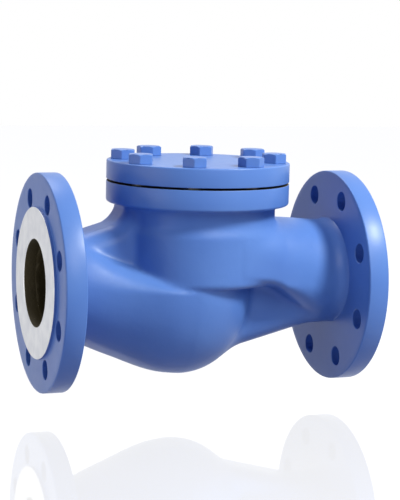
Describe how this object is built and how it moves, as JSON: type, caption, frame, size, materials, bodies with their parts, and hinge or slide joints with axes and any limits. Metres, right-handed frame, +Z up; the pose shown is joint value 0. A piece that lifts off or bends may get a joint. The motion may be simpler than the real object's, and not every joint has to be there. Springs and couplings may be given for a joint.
{
  "type": "non-return valve",
  "caption": "Flanged straight-way non-return valve with an S-shaped cast body, a bolted flat cover and a spring-loaded guided disc inside.",
  "frame": {"origin": "centre of the inlet flange's raised face, on the pipe axis", "axes": "+X along the pipe with the flow, +Z up through the cover, the disc axis parallel to Z at x = 0.155"},
  "size_m": [0.31, 0.2, 0.2193],
  "materials": {
    "painted_casting": "satin blue enamel over cast steel, machined flange faces bare",
    "painted_screws": "satin blue enamel over steel screw heads",
    "gasket_graphite": "dark graphite sheet",
    "stainless_steel": "turned stainless steel",
    "spring_steel": "drawn stainless spring wire",
    "guide_bronze": "bored bronze",
    "soft_seat_plastic": "smooth white sealing plastic"
  },
  "bodies": {
    "casing": {"body": "painted_casting", "seat_ring": "stainless_steel", "cover": "painted_casting", "cover_gasket": "gasket_graphite", "cover_screws": "painted_screws", "guide_bush": "guide_bronze", "closing_spring": "spring_steel"},
    "lift_washer": {"spring_washer": "stainless_steel"},
    "disc_unit": {"disc": "stainless_steel", "guide_stem": "stainless_steel", "clamp_plate": "stainless_steel", "clamp_nut": "stainless_steel", "split_pin": "stainless_steel", "soft_seat_ring": "soft_seat_plastic"}
  },
  "joints": [
    {"name": "disc_lift", "type": "slide", "parent": "casing", "child": "lift_washer", "axis": [0, 0, 1], "range_m": [0, 0.02], "stiffness_N_per_m": 700, "springref_m": -0.014, "deforming": ["closing_spring"]},
    {"name": "disc_turn", "type": "hinge", "parent": "lift_washer", "child": "disc_unit", "pos_m": [0.155, 0, 0.036], "axis": [0, 0, 1], "continuous": true}
  ]
}
